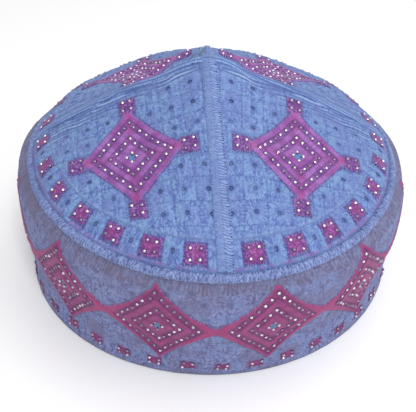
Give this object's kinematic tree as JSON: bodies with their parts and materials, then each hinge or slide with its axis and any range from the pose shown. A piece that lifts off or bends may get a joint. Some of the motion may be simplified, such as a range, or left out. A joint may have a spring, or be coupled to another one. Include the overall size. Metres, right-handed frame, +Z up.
{
  "type": "kufi",
  "caption": "Soft round cap with a domed crown of quilted quarters, stitched seams, a rolled rim edging and a tall side band with an open hollow for the head.",
  "frame": {"origin": "on the surface the cap stands on, under the middle of the hem", "axes": "+Z up through the crown, -Y to the front where one crown seam comes down, +X to the right as seen from the front"},
  "size_m": [0.1936, 0.197, 0.1247],
  "materials": {
    "crown_cloth": "quilted matt cotton with satin stitching, periwinkle blue",
    "seam_thread": "satin and whip-stitched thread, periwinkle blue",
    "edging_thread": "whip-stitched thread roll, light periwinkle blue",
    "band_cloth": "quilted matt cotton with satin stitching, greyed lavender"
  },
  "bodies": {
    "root": {"crown_gore_front_left": "crown_cloth", "crown_gore_front_right": "crown_cloth", "crown_gore_back_left": "crown_cloth", "crown_gore_back_right": "crown_cloth", "seam_front": "seam_thread", "seam_back": "seam_thread", "seam_left": "seam_thread", "seam_right": "seam_thread", "rim_edging": "edging_thread", "band": "band_cloth"}
  },
  "joints": []
}
